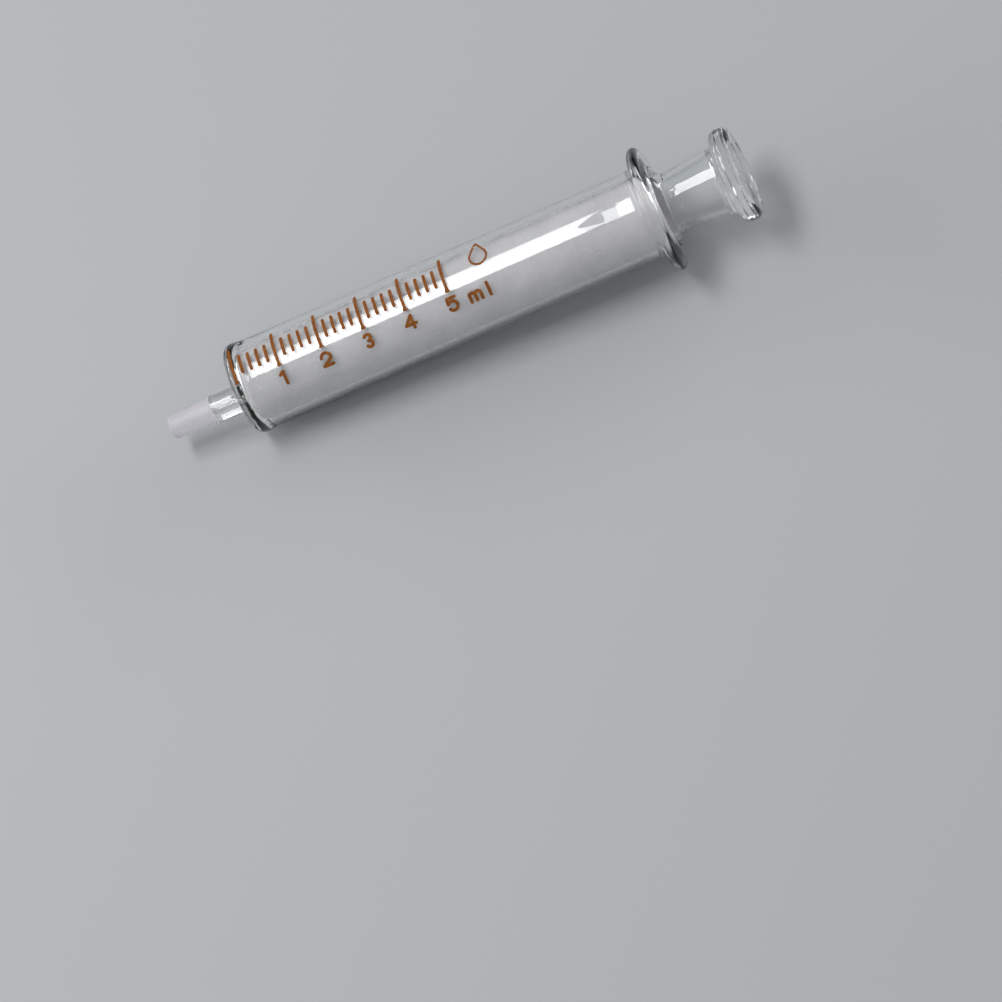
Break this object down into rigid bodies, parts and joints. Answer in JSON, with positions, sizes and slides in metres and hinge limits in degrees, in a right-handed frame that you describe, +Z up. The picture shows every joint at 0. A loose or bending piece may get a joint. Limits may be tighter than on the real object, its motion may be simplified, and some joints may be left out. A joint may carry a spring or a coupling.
{
  "type": "glass syringe",
  "caption": "All-glass syringe with a ground piston, a finger flange, a thumb button, a ground slip nozzle and a fired enamel scale in millilitres.",
  "frame": {"origin": "under the middle of the part's box, on the surface that it lies on", "axes": "+X from the nozzle towards the thumb button along the surface, +Z up; the barrel's own axis rises 2.3 degrees towards the button because the flange is wider than the base"},
  "size_m": [0.107, 0.0222, 0.0221],
  "materials": {
    "clear_glass": "clear drawn and flame-worked glass",
    "ground_glass": "fine-ground, frosted white",
    "enamel": "fired amber-brown enamel on glass"
  },
  "bodies": {
    "barrel": {"barrel_base": "clear_glass", "barrel_tube": "clear_glass", "finger_flange": "clear_glass", "nozzle_neck": "clear_glass", "nozzle_cone": "ground_glass", "mark_0_0_ml": "enamel", "mark_0_2_ml": "enamel", "mark_0_4_ml": "enamel", "mark_0_6_ml": "enamel", "mark_0_8_ml": "enamel", "mark_1_0_ml": "enamel", "mark_1_2_ml": "enamel", "mark_1_4_ml": "enamel", "mark_1_6_ml": "enamel", "mark_1_8_ml": "enamel", "mark_2_0_ml": "enamel", "mark_2_2_ml": "enamel", "mark_2_4_ml": "enamel", "mark_2_6_ml": "enamel", "mark_2_8_ml": "enamel", "mark_3_0_ml": "enamel", "mark_3_2_ml": "enamel", "mark_3_4_ml": "enamel", "mark_3_6_ml": "enamel", "mark_3_8_ml": "enamel", "mark_4_0_ml": "enamel", "mark_4_2_ml": "enamel", "mark_4_4_ml": "enamel", "mark_4_6_ml": "enamel", "mark_4_8_ml": "enamel", "mark_5_0_ml": "enamel", "numeral_1": "enamel", "numeral_2": "enamel", "numeral_3": "enamel", "numeral_4": "enamel", "numeral_5": "enamel", "unit_m": "enamel", "unit_l": "enamel", "symbol_drop": "enamel"},
    "plunger": {"piston_tube": "ground_glass", "plunger_neck": "clear_glass", "thumb_button": "clear_glass"}
  },
  "joints": [
    {"name": "plunger_slide", "type": "slide", "parent": "barrel", "child": "plunger", "axis": [0.9992, 0, 0.0402], "range_m": [0, 0.06]}
  ]
}
